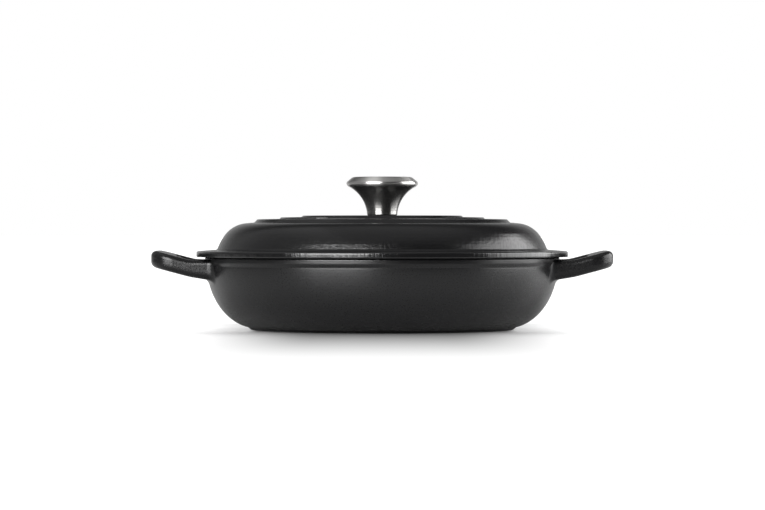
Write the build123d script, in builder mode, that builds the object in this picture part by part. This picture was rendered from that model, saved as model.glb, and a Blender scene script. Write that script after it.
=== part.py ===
"""Shallow cast-iron braiser: enamelled pot with two loop handles, domed lid and steel knob.

Millimetres, +Z up. The origin is the centre of the foot, on the hob, and the handles lie along X.
"""

import os
from math import acos, cos, degrees, hypot, radians, sin, sqrt, tan

from build123d import *

# Pot: outline of the bowl
rim_radius = 144.7
rim_height = 59.2
rim_outer_round = 1.7
rim_inner_chamfer = 1.0
rim_band_height = 8.0
rim_band_proud = 1.5
rim_band_cove = 3.0
rim_band_bury = 0.1
rim_upright = 5.4
belly_bottom = 1.1
belly_flat_radius = 101.8
belly_wall = 3.5
floor_thickness = 4.3

# Pot: raised foot with a shallow recess
foot_radius = 109.5
foot_taper = 2.4
foot_edge_round = 2.0
foot_ring_width = 15.0
foot_recess = 0.8
foot_recess_flare = 1.5

# Loop handles
handle_reach = 42.5
handle_half_width = 46.0
handle_corner = 18.0
handle_crown = 1.6
handle_drop = 2.2
handle_thickness = 13.7
handle_slope = 14.8
handle_level_run = 10.0
handle_top_bend = 30.0
handle_bottom_bend = 60.0
handle_root_rise = 6.0
handle_root_depth = 26.7
handle_root_fillet = 7.0
handle_top_round = 4.0
handle_bottom_round = 5.5
grip_bar = 18.0
handle_arm = 14.0
handle_web = 4.3
opening_corner = 9.0
opening_round = 3.0

# Lid casting
lid_wall = 3.3
crown_wall = 3.9
lid_play = 0.8
lip_depth = 4.5
lip_thickness = 4.0
lip_chamfer = 1.2
flange_overhang = 6.8
flange_edge = 4.7
flange_slope = 4.4
flange_top_round = 1.6
flange_bottom_chamfer = 0.7
dome_inset = 10.1
dome_base_angle = 18.4
dome_knee_angle = 39.3
dome_side_radius = 40.0
dome_shoulder_radius = 24.0
dome_top_slope = 5.0
ceiling_bend = 60.0
ring_1_radius = 101.8
ring_2_radius = 82.6
ring_3_radius = 64.7
ring_1_step = 2.6
ring_2_step = 1.2
ring_3_step = 1.1
ring_slope = 1.1
ring_wall_lean = 45.0
ring_edge_chamfer = 0.6
ring_gap_half_angle = 39.0
lug_count = 3
lug_radius = 4.0
lug_height = 3.0
lug_proud = 0.4

# Knob: spun neck and pressed cap
neck_height = 23.8
neck_foot_radius = 12.3
neck_foot_chamfer = 1.2
neck_curve_radius = 27.4
neck_flare_radius = 27.8
neck_edge = 0.3
cap_radius = 30.1
cap_nose_height = 2.7
cap_nose_round = 2.2
cap_height = 7.8
cap_top_radius = 24.0
cap_edge_round = 4.5
knob_sheet = 1.5

# Knob fastening, M6
screw_radius = 3.0
screw_length = 20.0
screw_head_radius = 6.0
screw_head_height = 3.6
screw_head_chamfer = 1.4
driver_recess_width = 1.2
driver_recess_length = 6.4
driver_recess_depth = 1.8
thread_root_radius = 2.4
thread_clearance = 0.05
hole_clearance = 0.6
washer_clearance = 0.2
washer_radius = 9.0
washer_thickness = 1.2
spring_washer_radius = 5.6
spring_washer_thickness = 1.6
spring_washer_split = 1.0
insert_radius = 6.5
insert_flange_radius = 9.5
insert_flange_height = 3.0
insert_end_wall = 2.5
insert_tip_room = 2.0

# Length by which a cutter or a buried end runs past a face, and the tolerance of a selection
overrun = 1.0
snug = 0.01


def corner(sketch, across, up):
    """Vertex of a sketch nearest to a point of its outline."""
    return sketch.vertices().sort_by_distance((across, up, 0))[0]


def polar(centre, radius, angle):
    """Point at an angle on a circle, as across and up."""
    return centre[0] + radius * cos(radians(angle)), centre[1] + radius * sin(radians(angle))


def bowl_section(flat_radius, centre_height, side, depth, top):
    """Half section of a bowl: flat floor, quarter-ellipse side and an upright wall above it."""
    bottom = centre_height - depth
    with Locations((flat_radius, centre_height)):
        Ellipse(side, depth)
    with Locations((0, centre_height)):
        Rectangle(flat_radius, depth, align=(Align.MIN, Align.MAX))
        Rectangle(flat_radius + side, top - centre_height, align=(Align.MIN, Align.MIN))
    with Locations((0, bottom)):
        outline = (flat_radius + side, top - bottom)
        Rectangle(*outline, align=(Align.MIN, Align.MIN), mode=Mode.INTERSECT)


# Places that follow from the pot's sizes
belly_radius = rim_radius - rim_band_proud
belly_side = belly_radius - belly_flat_radius
belly_height = rim_height - rim_upright
belly_depth = belly_height - belly_bottom
cavity_side = belly_side - belly_wall
cavity_radius = belly_flat_radius + cavity_side
floor_height = foot_recess + floor_thickness
foot_spread = (foot_radius - belly_flat_radius) / belly_side
foot_top = belly_height - belly_depth * sqrt(1 - foot_spread**2)
contact_radius = foot_radius - foot_taper
foot_buried_top = foot_top + overrun
foot_buried_radius = contact_radius + foot_taper * foot_buried_top / foot_top
recess_radius = contact_radius - foot_ring_width

band_bottom = rim_height - rim_band_height
band_inner = belly_radius - rim_band_bury
cove_angle = degrees(acos(1 - (rim_radius - band_inner) / (rim_band_cove * 2)))
cove_height = rim_band_cove * sin(radians(cove_angle)) * 2

handle_tip = rim_radius + handle_reach
handle_corner_place = handle_tip - handle_crown
handle_top = rim_height - handle_drop
handle_inner_end = rim_radius - handle_root_depth
bend_place = rim_radius + handle_level_run
bend_bottom = handle_top - handle_thickness
tip_top = handle_top + (handle_tip - bend_place) * tan(radians(handle_slope))
opening_inner = rim_radius + handle_web
opening_length = handle_tip - grip_bar - opening_inner
opening_width = (handle_half_width - handle_arm) * 2


def is_across(edge):
    """True of a seam that runs across the loop on its middle plane."""
    return abs(edge.center().Y) < snug and abs((edge % 0.5).Y) > 1 - snug


# One loop handle as a blank, with its under edge rounded, before its root and opening
with BuildPart() as handle_blank:
    with BuildSketch(Plane.XZ) as side_view:
        with BuildLine():
            Polyline(
                (handle_inner_end, handle_top),
                (bend_place, handle_top),
                (handle_tip, tip_top),
                (handle_tip, tip_top - handle_thickness),
                (bend_place, bend_bottom),
                (handle_inner_end, bend_bottom - handle_root_rise),
                close=True,
            )
        make_face()
        fillet(corner(side_view, bend_place, handle_top), radius=handle_top_bend)
        fillet(corner(side_view, bend_place, bend_bottom), radius=handle_bottom_bend)
    extrude(amount=handle_half_width + overrun, both=True)
    with BuildSketch() as plan_view:
        with BuildLine():
            loop_sides = Polyline(
                (handle_corner_place, -handle_half_width),
                (handle_inner_end, -handle_half_width),
                (handle_inner_end, handle_half_width),
                (handle_corner_place, handle_half_width),
            )
            ThreePointArc(loop_sides @ 1, (handle_tip, 0), loop_sides @ 0)
        make_face()
        for side in (1, -1):
            loop_corner = corner(plan_view, handle_corner_place, side * handle_half_width)
            fillet(loop_corner, radius=handle_corner)
    extrude(amount=tip_top + overrun, mode=Mode.INTERSECT)
    underside = handle_blank.faces().filter_by(lambda face: face.normal_at().Z < -snug)
    under_edges = underside.edges().filter_by(lambda edge: abs(edge.center().Y) > snug)
    fillet(under_edges, radius=handle_bottom_round)

with BuildPart() as pot:
    with BuildSketch(Plane.XZ):
        bowl_section(belly_flat_radius, belly_height, belly_side, belly_depth, handle_top)
    revolve(axis=Axis.Z)
    add(handle_blank.part)
    mirror(handle_blank.part, about=Plane.YZ)

    # The handles flow into the belly below and at their sides
    roots = pot.edges().filter_by(
        lambda edge: handle_inner_end < abs(edge.center().X) < bend_place
        and abs(edge.center().Y) < handle_half_width + handle_root_fillet
        and abs(hypot(edge.center().X, edge.center().Y) - belly_radius) < belly_wall
        and edge.center().Z < handle_top - snug
    )
    fillet(roots, radius=handle_root_fillet)

    # One rounding runs round both loops and on along the bowl, under the rim band
    top_edges = pot.edges().filter_by(
        lambda edge: min((edge @ share).Z for share in (0, 1 / 2, 1)) > handle_top - snug
    )
    seams = top_edges.filter_by(lambda edge: is_across(edge) and abs(edge.center().X) < handle_corner_place)
    fillet([edge for edge in top_edges if edge not in seams], radius=handle_top_round)

    # Rim band, with a soft step down to the belly
    with BuildSketch(Plane.XZ) as band_view:
        with BuildLine():
            hollow_centre = (band_inner + rim_band_cove, band_bottom)
            crest_centre = (rim_radius - rim_band_cove, band_bottom + cove_height)
            hollow = CenterArc(hollow_centre, rim_band_cove, 180, -cove_angle)
            crest = CenterArc(crest_centre, rim_band_cove, -cove_angle, cove_angle)
            Polyline(crest @ 1, (rim_radius, rim_height), (0, rim_height), (0, band_bottom), hollow @ 0)
        make_face()
        fillet(corner(band_view, rim_radius, rim_height), radius=rim_outer_round)
    revolve(axis=Axis.Z)

    # Foot
    with BuildSketch(Plane.XZ) as foot_view:
        with BuildLine():
            Polyline(
                (0, 0),
                (contact_radius, 0),
                (foot_buried_radius, foot_buried_top),
                (0, foot_buried_top),
                close=True,
            )
        make_face()
        fillet(corner(foot_view, contact_radius, 0), radius=foot_edge_round)
    revolve(axis=Axis.Z)
    with BuildSketch(Plane.XZ):
        with BuildLine():
            Polyline(
                (0, -overrun),
                (recess_radius, -overrun),
                (recess_radius, 0),
                (recess_radius - foot_recess_flare, foot_recess),
                (0, foot_recess),
                close=True,
            )
        make_face()
    revolve(axis=Axis.Z, mode=Mode.SUBTRACT)

    # Inside of the bowl
    with BuildSketch(Plane.XZ):
        cavity_depth = belly_height - floor_height
        bowl_section(belly_flat_radius, belly_height, cavity_side, cavity_depth, rim_height + overrun)
    revolve(axis=Axis.Z, mode=Mode.SUBTRACT)
    mouth = pot.edges().filter_by(GeomType.CIRCLE).filter_by_position(
        Axis.Z, rim_height - snug, rim_height + snug
    )
    chamfer(mouth.sort_by(SortBy.RADIUS)[0], length=rim_inner_chamfer)

    # Finger openings
    with BuildSketch():
        for side in (1, -1):
            with Locations((side * (opening_inner + opening_length / 2), 0)):
                RectangleRounded(opening_length, opening_width, opening_corner)
    extrude(amount=tip_top + overrun, mode=Mode.SUBTRACT)
    loop_edges = pot.edges().filter_by(
        lambda edge: opening_inner - snug < abs(edge.center().X) < opening_inner + opening_length + snug
        and abs(edge.center().Y) < opening_width / 2 + snug
        and abs((edge % 0.5).Z) < 1 - snug
    )
    fillet(loop_edges, radius=opening_round)
pot.part.label = "pot"

# Places that follow from the lid's sizes
flange_radius = rim_radius + flange_overhang
flange_top = rim_height + flange_edge
lip_radius = cavity_radius - lid_play
lip_bottom = rim_height - lip_depth
dome_base = (rim_radius - dome_inset, flange_top + (flange_overhang + dome_inset) * tan(radians(flange_slope)))
side_centre = polar(dome_base, -dome_side_radius, dome_base_angle)
knee = polar(side_centre, dome_side_radius, dome_knee_angle)
shoulder_centre = polar(knee, -dome_shoulder_radius, dome_knee_angle)
shoulder_end_angle = 90 - dome_top_slope
shoulder_end = polar(shoulder_centre, dome_shoulder_radius, shoulder_end_angle)
inner_end = polar(shoulder_centre, dome_shoulder_radius - lid_wall, shoulder_end_angle)
ring_spread = tan(radians(ring_wall_lean))
ring_1_foot_radius = ring_1_radius + ring_1_step * ring_spread
ring_1_foot = shoulder_end[1] + (shoulder_end[0] - ring_1_foot_radius) * tan(radians(dome_top_slope))
ring_1_top = ring_1_foot + ring_1_step
ring_2_foot = ring_1_top + (ring_1_radius - ring_2_radius) * tan(radians(ring_slope))
ring_3_foot = ring_2_foot + (ring_2_radius - ring_3_radius) * tan(radians(ring_slope))
crown_top = ring_3_foot + ring_2_step + ring_3_step
ring_3_foot_radius = ring_3_radius + (ring_2_step + ring_3_step) * ring_spread
ceiling = crown_top - crown_wall
ceiling_radius = inner_end[0] - (ceiling - inner_end[1]) / tan(radians(dome_top_slope))
hole_radius = screw_radius + hole_clearance

with BuildPart() as lid:
    with BuildSketch(Plane.XZ) as lid_view:
        with BuildLine():
            side_turn = dome_knee_angle - dome_base_angle
            shoulder_turn = shoulder_end_angle - dome_knee_angle
            CenterArc(side_centre, dome_side_radius, dome_base_angle, side_turn)
            CenterArc(shoulder_centre, dome_shoulder_radius, dome_knee_angle, shoulder_turn)
            inner_shoulder = dome_shoulder_radius - lid_wall
            CenterArc(shoulder_centre, inner_shoulder, dome_knee_angle, shoulder_turn)
            inner_side = CenterArc(side_centre, dome_side_radius - lid_wall, dome_base_angle, side_turn)
            Polyline(
                shoulder_end,
                (ring_1_foot_radius, ring_1_foot),
                (ring_1_radius, ring_1_top),
                (ring_3_foot_radius, ring_3_foot),
                (ring_3_radius, crown_top),
                (hole_radius, crown_top),
                (hole_radius, ceiling),
                (ceiling_radius, ceiling),
                inner_end,
            )
            Polyline(
                inner_side @ 0,
                (lip_radius - lip_thickness, lip_bottom),
                (lip_radius, lip_bottom),
                (lip_radius, rim_height),
                (flange_radius, rim_height),
                (flange_radius, flange_top),
                dome_base,
            )
        make_face()
        fillet(corner(lid_view, flange_radius, flange_top), radius=flange_top_round)
        chamfer(corner(lid_view, flange_radius, rim_height), length=flange_bottom_chamfer)
        chamfer(corner(lid_view, lip_radius, lip_bottom), length=lip_chamfer)
        chamfer(corner(lid_view, lip_radius - lip_thickness, lip_bottom), length=lip_chamfer)
        fillet(corner(lid_view, ceiling_radius, ceiling), radius=ceiling_bend)
        chamfer(corner(lid_view, ring_1_radius, ring_1_top), length=ring_edge_chamfer)
        chamfer(corner(lid_view, ring_3_radius, crown_top), length=ring_edge_chamfer)
    revolve(axis=Axis.Z)

    # The middle ring leaves a plain field at the front
    ring_start = polar((0, 0), 1, ring_gap_half_angle - 90)
    ring_plane = Plane((0, 0, 0), x_dir=(*ring_start, 0), z_dir=(ring_start[1], -ring_start[0], 0))
    with BuildSketch(ring_plane) as ring_view:
        with BuildLine():
            Polyline(
                (ring_3_radius - ring_3_step, ring_3_foot - ring_2_step),
                (ring_2_radius + ring_2_step * ring_spread * 2, ring_2_foot - ring_2_step),
                (ring_2_radius, ring_2_foot + ring_2_step),
                (ring_3_radius, ring_3_foot + ring_2_step),
                (ring_3_radius - ring_3_step, ring_3_foot + ring_2_step),
                close=True,
            )
        make_face()
        ring_2_edge = corner(ring_view, ring_2_radius, ring_2_foot + ring_2_step)
        chamfer(ring_2_edge, length=ring_edge_chamfer)
    revolve(axis=Axis.Z, revolution_arc=360 - ring_gap_half_angle * 2)

    # Lugs on the lip centre the lid in the mouth of the pot
    with BuildSketch(Plane.XY.offset(lip_bottom + lip_chamfer)):
        with PolarLocations(lip_radius - lug_radius + lug_proud, lug_count, start_angle=90):
            Circle(lug_radius)
        Circle(lip_radius - lip_thickness, mode=Mode.SUBTRACT)
    extrude(amount=lug_height)
lid.part.label = "lid"

# Places that follow from the knob's sizes
knob_top = crown_top + neck_height
neck_floor = crown_top + knob_sheet
screw_seat = ceiling - washer_thickness - spring_washer_thickness
screw_tip = screw_seat + screw_length
washer_hole = screw_radius + washer_clearance
neck_rim_radius = neck_flare_radius - knob_sheet
neck_bore_radius = neck_foot_radius - knob_sheet

with BuildPart() as knob_neck:
    with BuildSketch(Plane.XZ) as neck_view:
        with BuildLine():
            neck_outside = Polyline(
                (neck_flare_radius, knob_top - neck_edge),
                (neck_flare_radius, knob_top),
                (neck_rim_radius, knob_top),
            )
            neck_base = Polyline(
                (neck_bore_radius, neck_floor),
                (hole_radius, neck_floor),
                (hole_radius, crown_top),
                (neck_foot_radius, crown_top),
            )
            RadiusArc(neck_base @ 1, neck_outside @ 0, neck_curve_radius)
            RadiusArc(neck_outside @ 1, neck_base @ 0, -neck_curve_radius - knob_sheet)
        make_face()
        chamfer(corner(neck_view, neck_foot_radius, crown_top), length=neck_foot_chamfer)
    revolve(axis=Axis.Z)
knob_neck.part.label = "knob_neck"

with BuildPart() as knob_cap:
    with BuildSketch(Plane.XZ) as cap_view:
        with BuildLine():
            Polyline(
                (0, knob_top),
                (neck_flare_radius, knob_top),
                (cap_radius, knob_top + cap_nose_height),
                (cap_top_radius, knob_top + cap_height),
                (0, knob_top + cap_height),
                close=True,
            )
        make_face()
        fillet(corner(cap_view, cap_radius, knob_top + cap_nose_height), radius=cap_nose_round)
        fillet(corner(cap_view, cap_top_radius, knob_top + cap_height), radius=cap_edge_round)
    revolve(axis=Axis.Z)
    offset(amount=-knob_sheet, openings=knob_cap.faces().sort_by(Axis.Z)[0])
knob_cap.part.label = "knob_cap"

with BuildPart() as knob_insert:
    with BuildSketch(Plane.XZ):
        with BuildLine():
            bore_radius = screw_radius + thread_clearance
            bore_end = screw_tip + insert_tip_room
            Polyline(
                (bore_radius, neck_floor),
                (insert_flange_radius, neck_floor),
                (insert_flange_radius, neck_floor + insert_flange_height),
                (insert_radius, neck_floor + insert_flange_height),
                (insert_radius, bore_end + insert_end_wall),
                (0, bore_end + insert_end_wall),
                (0, bore_end),
                (bore_radius, bore_end),
                close=True,
            )
        make_face()
    revolve(axis=Axis.Z)
knob_insert.part.label = "knob_insert"

with BuildPart() as knob_screw:
    with BuildSketch(Plane.XZ) as screw_view:
        with BuildLine():
            Polyline(
                (0, screw_seat - screw_head_height),
                (screw_head_radius, screw_seat - screw_head_height),
                (screw_head_radius, screw_seat),
                (screw_radius, screw_seat),
                (screw_radius, screw_tip),
                (0, screw_tip),
                close=True,
            )
        make_face()
        head_corner = corner(screw_view, screw_head_radius, screw_seat - screw_head_height)
        chamfer(head_corner, length=screw_head_chamfer)
    revolve(axis=Axis.Z)
    chamfer(knob_screw.edges().sort_by(Axis.Z)[-1], length=screw_radius - thread_root_radius)
    with BuildSketch(Plane.XY.offset(screw_seat - screw_head_height)):
        for turn in (0, 90):
            with Locations(Rotation(0, 0, turn)):
                Rectangle(driver_recess_length, driver_recess_width)
    extrude(amount=driver_recess_depth, mode=Mode.SUBTRACT)
knob_screw.part.label = "knob_screw"

with BuildPart() as screw_washer:
    with BuildSketch(Plane.XY.offset(ceiling - washer_thickness)):
        Circle(washer_radius)
        Circle(washer_hole, mode=Mode.SUBTRACT)
    extrude(amount=washer_thickness)
screw_washer.part.label = "screw_washer"

with BuildPart() as spring_washer:
    with BuildSketch(Plane.XY.offset(screw_seat)):
        Circle(spring_washer_radius)
        Circle(washer_hole, mode=Mode.SUBTRACT)
        Rectangle(
            spring_washer_radius + overrun,
            spring_washer_split,
            align=(Align.MIN, Align.CENTER),
            mode=Mode.SUBTRACT,
        )
    extrude(amount=spring_washer_thickness)
spring_washer.part.label = "spring_washer"

os.makedirs("parts", exist_ok=True)
for piece in (pot, lid, knob_neck, knob_cap, knob_insert, knob_screw, screw_washer, spring_washer):
    export_step(piece.part, f"parts/{piece.part.label}.step")
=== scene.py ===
"""Looks of a satin black cast-iron braiser: enamelled pot and lid, steel knob, soft studio.

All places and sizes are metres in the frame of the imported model: +Z up, the foot's centre at the origin.
"""

import logging
from dataclasses import dataclass, field
from enum import Enum
from functools import partial
from math import acos, asin, atan2, ceil, cos, degrees, hypot, pi, radians, sin, sqrt, tan
from typing import Any, Callable, ClassVar, Iterable, Optional, Sequence, Union

import bmesh
import bpy
import numpy as np
from bpy.types import Material, Mesh, Node, NodeSocket, NodeTree, Object
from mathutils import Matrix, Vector


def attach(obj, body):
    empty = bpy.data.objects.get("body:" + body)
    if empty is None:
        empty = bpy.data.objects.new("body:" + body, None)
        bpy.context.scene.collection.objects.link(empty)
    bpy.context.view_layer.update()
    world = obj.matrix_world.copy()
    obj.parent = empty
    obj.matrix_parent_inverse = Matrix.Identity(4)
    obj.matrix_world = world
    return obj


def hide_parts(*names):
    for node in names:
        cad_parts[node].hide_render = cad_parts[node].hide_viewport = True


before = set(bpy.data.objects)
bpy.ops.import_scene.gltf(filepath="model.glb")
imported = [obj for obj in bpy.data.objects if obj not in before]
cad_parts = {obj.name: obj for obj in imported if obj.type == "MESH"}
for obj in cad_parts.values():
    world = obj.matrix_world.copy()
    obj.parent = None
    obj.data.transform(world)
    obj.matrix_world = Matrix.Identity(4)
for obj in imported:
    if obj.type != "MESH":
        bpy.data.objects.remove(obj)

LOG = logging.getLogger("braiser")
MM = 0.001
MATH = "ShaderNodeMath"
VECTOR = "ShaderNodeVectorMath"
RANGE = "ShaderNodeMapRange"
NOISE = "ShaderNodeTexNoise"
BUMP = "ShaderNodeBump"
TRANSFORM = "GeometryNodeTransform"
Span = tuple[float, float]
Feed = Union[float, Node, NodeSocket]
NOISE_SPAN: Span = (0.3, 0.7)  # nearly all values of a noise lie in it


class Body(Enum):
    """The bodies that pieces ride on."""

    POT = "pot"
    LID = "lid"


class Slot(Enum):
    """The material slots of the record, one for each kind of new piece."""

    POT_ENAMEL = "pot_enamel"
    LID_ENAMEL = "lid_enamel"
    NECK_STEEL = "neck_steel"
    CAP_STEEL = "cap_steel"


def linear(code: str) -> tuple[float, float, float, float]:
    """Turn an sRGB hex colour into the linear colour that a shader takes.

    Args:
        code: Six hex digits, with or without a leading hash.

    Returns:
        Red, green, blue and alpha.
    """
    digits = code.lstrip("#")
    parts = [int(digits[i : i + 2], 16) / 255 for i in (0, 2, 4)]
    curve = [c / 12.92 if c <= 0.04045 else ((c + 0.055) / 1.055) ** 2.4 for c in parts]
    return (*curve, 1.0)


def add_node(tree: NodeTree, kind: str, inputs: Optional[dict] = None, **settings: Any) -> Node:
    """Add a node, set its properties, and fill or link its inputs.

    Args:
        tree: The tree that gets the node.
        kind: The node's type name.
        inputs: Input name or number to a value, to the output that feeds it, or to a node, of which the
            first output in use feeds it.
        **settings: Properties of the node itself.

    Returns:
        The new node.
    """
    node = tree.nodes.new(kind)
    for name, value in settings.items():
        setattr(node, name, value)
    for key, value in (inputs or {}).items():
        if isinstance(value, Node):
            value = next(output for output in value.outputs if output.enabled)
        if isinstance(value, NodeSocket):
            tree.links.new(value, node.inputs[key])
        else:
            node.inputs[key].default_value = value
    return node


def over(value: Feed, span: Span) -> dict[str, Any]:
    """Inputs of a Map Range node that follows a value over a span."""
    return {"Value": value, "From Min": span[0], "From Max": span[1]}


def faded(tree: NodeTree, strength: Feed, *fades: tuple[Feed, Span]) -> Feed:
    """Let a strength fade out smoothly along one or more distances.

    Args:
        tree: The tree.
        strength: The strength where nothing is faded.
        *fades: A distance, with where it leaves nothing and where it leaves all.

    Returns:
        What is left of the strength.
    """
    for distance, span in fades:
        share = add_node(tree, RANGE, over(distance, span), interpolation_type="SMOOTHSTEP")
        strength = add_node(tree, MATH, {0: strength, 1: share}, operation="MULTIPLY")
    return strength


def put(name: str, data: Any) -> Object:
    """Put new data in the scene.

    Args:
        name: The new object's name.
        data: Its mesh, lamp or camera.

    Returns:
        The object.
    """
    thing = bpy.data.objects.new(name, data)
    bpy.context.scene.collection.objects.link(thing)
    return thing


def read(items: Sequence[Any], name: str, kind: type, width: int = 1) -> np.ndarray:
    """Read one property of many elements of a mesh.

    Args:
        items: The elements.
        name: The property's name.
        kind: The type of its numbers.
        width: How many numbers each element has.

    Returns:
        The numbers, with a row for each element where it has more than one.
    """
    values = np.empty(len(items) * width, kind)
    items.foreach_get(name, values)
    return values.reshape(-1, width) if width > 1 else values


def polar(centre: Vector, radius: float, angle: float) -> Vector:
    """Find the point of a circle at an angle in degrees; a negative radius gives the one across."""
    return centre + Vector((cos(radians(angle)), sin(radians(angle)))) * radius


class Outline:
    """One half section, drawn as radius and height with lines, arcs and rounded corners."""

    CORNER_STEP: ClassVar[float] = radians(7.5)
    ARC_FINER: ClassVar[float] = 1.5  # an arc has this many times the steps of a corner
    ELLIPSE_STEP: ClassVar[float] = radians(3)
    HOLD: ClassVar[float] = 0.25 * MM  # distance from an end at which a straight stretch is held
    SHORT: ClassVar[float] = 6  # a stretch shorter than this many holds isn't held
    LONGEST: ClassVar[float] = 6 * MM
    SAME: ClassVar[float] = 0.001 * MM

    def __init__(self) -> None:
        """Start with no points."""
        self.items: list[tuple[Vector, float]] = []

    def to(self, radius: float, height: float, rounding: float = 0.0) -> "Outline":
        """Go straight to a point, whose corner can have a rounding, and return the outline."""
        self.items.append((Vector((radius, height)), rounding))
        return self

    def arc(self, centre: Vector, radius: float, start: float, end: float) -> "Outline":
        """Follow an arc.

        Args:
            centre: Its centre.
            radius: Its radius.
            start: The angle of its first point, in degrees.
            end: The angle of its last point, in degrees.

        Returns:
            The outline itself.
        """
        steps = max(2, ceil(abs(radians(end - start)) / self.CORNER_STEP * self.ARC_FINER))
        for step in range(steps + 1):
            self.to(*polar(centre, radius, start + (end - start) * step / steps))
        return self

    def ellipse(self, centre: Vector, side: float, depth: float, start: float, end: float) -> "Outline":
        """Follow an ellipse.

        Args:
            centre: Its centre.
            side: Its half width.
            depth: Its half height.
            start: The parameter angle of its first point, in degrees.
            end: The parameter angle of its last point, in degrees.

        Returns:
            The outline itself.
        """
        steps = max(2, ceil(abs(radians(end - start)) / self.ELLIPSE_STEP))
        for step in range(steps + 1):
            turn = radians(start + (end - start) * step / steps)
            self.to(centre.x + side * cos(turn), centre.y + depth * sin(turn))
        return self

    def points(self, closed: bool) -> list[Vector]:
        """Round the corners and hold the straight stretches.

        Args:
            closed: Whether the last point joins the first.

        Returns:
            The finished points, in order.
        """
        rounded: list[Vector] = []
        count = len(self.items)
        for i, (point, rounding) in enumerate(self.items):
            if rounding:
                before, after = self.items[i - 1][0], self.items[(i + 1) % count][0]
                rounded += self._corner(before, point, after, rounding)
            else:
                rounded.append(point)
        pairs = zip(rounded, rounded[1:] + rounded[:1] if closed else rounded[1:])
        ends = [(start, end) for start, end in pairs if (end - start).length > self.SAME]
        held: list[Vector] = []
        for start, end in ends:
            held += self._hold(start, end)
        return held if closed else held + [rounded[-1]]

    def _corner(self, before: Vector, point: Vector, after: Vector, rounding: float) -> list[Vector]:
        """Round one corner.

        Args:
            before: The point before the corner.
            point: The corner.
            after: The point after it.
            rounding: The radius.

        Returns:
            The points of the arc.
        """
        back, ahead = (before - point).normalized(), (after - point).normalized()
        half = back.angle(ahead) / 2
        centre = point + (back + ahead).normalized() * (rounding / sin(half))
        first = point + back * (rounding / tan(half)) - centre
        last = point + ahead * (rounding / tan(half)) - centre
        start = atan2(first.y, first.x)
        turn = (atan2(last.y, last.x) - start + pi) % (2 * pi) - pi
        steps = max(2, ceil(abs(turn) / self.CORNER_STEP))
        angles = [start + turn * step / steps for step in range(steps + 1)]
        return [centre + Vector((cos(a), sin(a))) * rounding for a in angles]

    def _hold(self, start: Vector, end: Vector) -> list[Vector]:
        """Split a straight stretch, with a point close to each end so that flat faces stay flat.

        Args:
            start: Where it starts.
            end: Where it ends.

        Returns:
            Its points, without the last.
        """
        length = (end - start).length
        if length < self.HOLD * self.SHORT:
            return [start]
        spread = np.linspace(0, length, ceil(length / self.LONGEST) + 1)[1:-1]
        inner = [self.HOLD, *spread, length - self.HOLD]
        return [start] + [start.lerp(end, distance / length) for distance in inner]


def smooth(mesh: Mesh, crease: float) -> None:
    """Shade a mesh smoothly, but sharply where faces meet at more than the crease, in degrees."""
    mesh.shade_smooth()
    mesh.set_sharp_from_angle(angle=radians(crease))


class ShapeTree:
    """A Geometry Nodes tree with named inputs, which ends in one real mesh with its material."""

    def __init__(self, name: str, sockets: dict[str, str]) -> None:
        """Start the tree.

        Args:
            name: The tree's name.
            sockets: Name of each input to its kind. The input Material comes after them.
        """
        self.tree = bpy.data.node_groups.new(name, "GeometryNodeTree")
        for label, kind in {**sockets, "Material": "Material"}.items():
            self.tree.interface.new_socket(label, in_out="INPUT", socket_type=f"NodeSocket{kind}")
        self.tree.interface.new_socket("Mesh", in_out="OUTPUT", socket_type="NodeSocketGeometry")
        self.add = partial(add_node, self.tree)
        self.given = self.add("NodeGroupInput").outputs

    def close(self, shape: Node) -> None:
        """Make the shape real, give it its material and end the tree.

        Args:
            shape: The node that gives the finished shape.
        """
        real = self.add("GeometryNodeRealizeInstances", {"Geometry": shape})
        dressing = {"Geometry": real, "Material": self.given["Material"]}
        self.add("NodeGroupOutput", {"Mesh": self.add("GeometryNodeSetMaterial", dressing)})

    def run(self, name: str, base: Mesh, values: dict[str, Any], crease: float) -> Mesh:
        """Run the tree and take its result off as a plain mesh.

        Args:
            name: The new mesh's name.
            base: The mesh that the tree starts from. It is removed.
            values: Input name to value.
            crease: Faces that meet at more than this angle have a sharp edge, in degrees.

        Returns:
            The mesh, with its faces pointing out.
        """
        holder = put(f"{name}_holder", base)
        modifier = holder.modifiers.new("nodes", "NODES")
        modifier.node_group = self.tree
        for item in self.tree.interface.items_tree:
            if item.in_out == "INPUT" and item.name in values:
                modifier[item.identifier] = values[item.name]
        bpy.context.view_layer.update()
        graph = bpy.context.evaluated_depsgraph_get()
        mesh = bpy.data.meshes.new_from_object(holder.evaluated_get(graph), depsgraph=graph)
        holder.modifiers.remove(modifier)
        bpy.data.objects.remove(holder)
        bpy.data.meshes.remove(base)
        work = bmesh.new()
        work.from_mesh(mesh)
        bmesh.ops.recalc_face_normals(work, faces=work.faces)
        work.to_mesh(mesh)
        work.free()
        smooth(mesh, crease)
        mesh.name = name
        return mesh


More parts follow.
